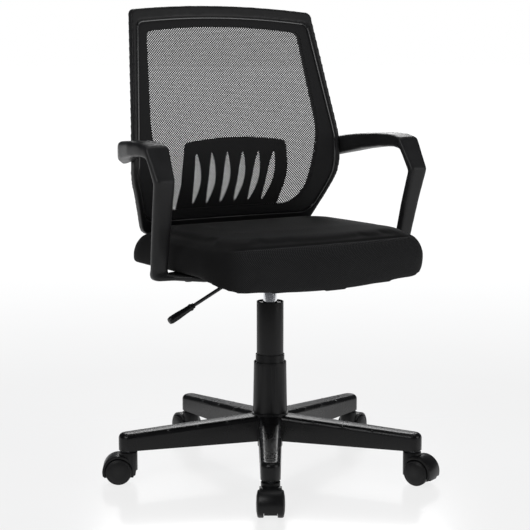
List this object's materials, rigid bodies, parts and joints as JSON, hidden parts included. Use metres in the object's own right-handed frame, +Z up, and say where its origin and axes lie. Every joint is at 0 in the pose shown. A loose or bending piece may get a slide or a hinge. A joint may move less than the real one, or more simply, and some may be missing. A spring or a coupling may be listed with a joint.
{
  "type": "swivel office chair",
  "caption": "Swivel office chair: mesh back with slotted lumbar plate, padded seat, loop armrests, gas-lift column with telescopic cover, star base on twin-wheel casters.",
  "frame": {"origin": "on the floor, on the axis of the gas-lift column", "axes": "+Z up, the sitter faces -Y, +X is the sitter's left hand side"},
  "size_m": [0.6643, 0.6421, 0.932],
  "materials": {
    "frame_plastic": "satin, fine grain",
    "base_nylon": "grained nylon",
    "caster_plastic": "semi-gloss",
    "wheel_plastic": "satin",
    "sleeve_plastic": "satin",
    "bearing_plastic": "natural acetal",
    "bumper_rubber": "matt",
    "chrome_tube": "hard chrome, polished",
    "bare_steel": "zinc plated",
    "black_steel": "black powder coat",
    "panel_wood": "moulded plywood",
    "cover_cloth": "non-woven",
    "seat_fabric": "woven, air-mesh front band",
    "back_mesh_fabric": "open mesh",
    "bead_gloss": "gloss",
    "lever_plastic": "satin"
  },
  "bodies": {
    "base": {"star_base": "base_nylon", "caster_stems": "bare_steel", "stem_sockets": "bare_steel", "column_tube": "black_steel", "column_bush": "bearing_plastic", "thrust_bearing": "bare_steel", "lower_sleeve": "sleeve_plastic"},
    "middle_cover": {"middle_sleeve": "sleeve_plastic"},
    "upper_cover": {"upper_sleeve": "sleeve_plastic"},
    "rod": {"piston_rod": "bare_steel", "piston": "bare_steel", "rod_clip": "bare_steel", "rod_bumper": "bumper_rubber"},
    "seat": {"pressure_tube": "chrome_tube", "rod_seal": "bearing_plastic", "seat_plate": "black_steel", "seat_plate_bolts": "bare_steel", "lever_pivot_pin": "bare_steel", "seat_panel": "panel_wood", "seat_underside_cover": "cover_cloth", "seat_cushion": "seat_fabric", "right_arm": "frame_plastic", "left_arm": "frame_plastic", "arm_foot_bolts": "black_steel", "arm_back_bolts": "bare_steel", "back_frame": "frame_plastic", "back_bead": "bead_gloss", "back_mesh": "back_mesh_fabric", "lumbar_plate": "frame_plastic", "lumbar_screws": "black_steel", "back_bracket": "black_steel", "back_bracket_bolts": "bare_steel"},
    "lever": {"lever_rod": "black_steel", "lever_grip": "lever_plastic"},
    "button": {"valve_button": "bare_steel"},
    "caster_1": {"caster_hood_1": "caster_plastic", "caster_axle_1": "bare_steel"},
    "wheel_l_1": {"wheel_left_1": "wheel_plastic"},
    "wheel_r_1": {"wheel_right_1": "wheel_plastic"},
    "caster_2": {"caster_hood_2": "caster_plastic", "caster_axle_2": "bare_steel"},
    "wheel_l_2": {"wheel_left_2": "wheel_plastic"},
    "wheel_r_2": {"wheel_right_2": "wheel_plastic"},
    "caster_3": {"caster_hood_3": "caster_plastic", "caster_axle_3": "bare_steel"},
    "wheel_l_3": {"wheel_left_3": "wheel_plastic"},
    "wheel_r_3": {"wheel_right_3": "wheel_plastic"},
    "caster_4": {"caster_hood_4": "caster_plastic", "caster_axle_4": "bare_steel"},
    "wheel_l_4": {"wheel_left_4": "wheel_plastic"},
    "wheel_r_4": {"wheel_right_4": "wheel_plastic"},
    "caster_5": {"caster_hood_5": "caster_plastic", "caster_axle_5": "bare_steel"},
    "wheel_l_5": {"wheel_left_5": "wheel_plastic"},
    "wheel_r_5": {"wheel_right_5": "wheel_plastic"}
  },
  "joints": [
    {"name": "swivel", "type": "hinge", "parent": "base", "child": "rod", "pos_m": [0, 0, 0.1], "axis": [0, 0, 1], "continuous": true},
    {"name": "seat_height", "type": "slide", "parent": "rod", "child": "seat", "axis": [0, 0, 1], "range_m": [-0.08, 0.02]},
    {"name": "upper_cover_slide", "type": "slide", "parent": "rod", "child": "upper_cover", "axis": [0, 0, 1], "range_m": [-0.08, 0.02]},
    {"name": "middle_cover_slide", "type": "slide", "parent": "rod", "child": "middle_cover", "axis": [0, 0, 1], "range_m": [-0.0085, 0.0025]},
    {"name": "lever_lift", "type": "hinge", "parent": "seat", "child": "lever", "pos_m": [-0.03, 0, 0.413], "axis": [0, 1, 0], "range_deg": [0, 6], "stiffness_Nm_per_rad": 1, "springref_deg": -14.32},
    {"name": "valve_press", "type": "slide", "parent": "seat", "child": "button", "axis": [0, 0, -1], "range_m": [0, 0.0036]},
    {"name": "caster_swivel_1", "type": "hinge", "parent": "base", "child": "caster_1", "pos_m": [-0.15984, -0.2452, 0.05], "axis": [0, 0, 1], "continuous": true},
    {"name": "wheel_l_spin_1", "type": "hinge", "parent": "caster_1", "child": "wheel_l_1", "pos_m": [-0.17022, -0.26112, 0.0254], "axis": [0.8377, -0.5461, 0], "continuous": true},
    {"name": "wheel_r_spin_1", "type": "hinge", "parent": "caster_1", "child": "wheel_r_1", "pos_m": [-0.17022, -0.26112, 0.0254], "axis": [0.8377, -0.5461, 0], "continuous": true},
    {"name": "caster_swivel_2", "type": "hinge", "parent": "base", "child": "caster_2", "pos_m": [0.1838, -0.22779, 0.05], "axis": [0, 0, 1], "continuous": true},
    {"name": "wheel_l_spin_2", "type": "hinge", "parent": "caster_2", "child": "wheel_l_2", "pos_m": [0.19095, -0.2454, 0.0254], "axis": [0.9265, 0.3762, 0], "continuous": true},
    {"name": "wheel_r_spin_2", "type": "hinge", "parent": "caster_2", "child": "wheel_r_2", "pos_m": [0.19095, -0.2454, 0.0254], "axis": [0.9265, 0.3762, 0], "continuous": true},
    {"name": "caster_swivel_3", "type": "hinge", "parent": "base", "child": "caster_3", "pos_m": [0.27344, 0.10442, 0.05], "axis": [0, 0, 1], "continuous": true},
    {"name": "wheel_l_spin_3", "type": "hinge", "parent": "caster_3", "child": "wheel_l_3", "pos_m": [0.29042, 0.11295, 0.0254], "axis": [-0.4493, 0.8934, 0], "continuous": true},
    {"name": "wheel_r_spin_3", "type": "hinge", "parent": "caster_3", "child": "wheel_r_3", "pos_m": [0.29042, 0.11295, 0.0254], "axis": [-0.4493, 0.8934, 0], "continuous": true},
    {"name": "caster_swivel_4", "type": "hinge", "parent": "base", "child": "caster_4", "pos_m": [-0.01481, 0.29233, 0.05], "axis": [0, 0, 1], "continuous": true},
    {"name": "wheel_l_spin_4", "type": "hinge", "parent": "caster_4", "child": "wheel_l_4", "pos_m": [-0.01428, 0.31132, 0.0254], "axis": [-0.9996, 0.0279, 0], "continuous": true},
    {"name": "wheel_r_spin_4", "type": "hinge", "parent": "caster_4", "child": "wheel_r_4", "pos_m": [-0.01428, 0.31132, 0.0254], "axis": [-0.9996, 0.0279, 0], "continuous": true},
    {"name": "caster_swivel_5", "type": "hinge", "parent": "base", "child": "caster_5", "pos_m": [-0.28259, 0.07625, 0.05], "axis": [0, 0, 1], "continuous": true},
    {"name": "wheel_l_spin_5", "type": "hinge", "parent": "caster_5", "child": "wheel_l_5", "pos_m": [-0.29901, 0.08581, 0.0254], "axis": [-0.503, -0.8643, 0], "continuous": true},
    {"name": "wheel_r_spin_5", "type": "hinge", "parent": "caster_5", "child": "wheel_r_5", "pos_m": [-0.29901, 0.08581, 0.0254], "axis": [-0.503, -0.8643, 0], "continuous": true}
  ],
  "couplings": [
    {"joint": "upper_cover_slide", "follows": "seat_height", "ratio": 1},
    {"joint": "middle_cover_slide", "follows": "seat_height", "ratio": 0.1},
    {"joint": "valve_press", "follows": "lever_lift", "m_per_rad": 0.034}
  ]
}
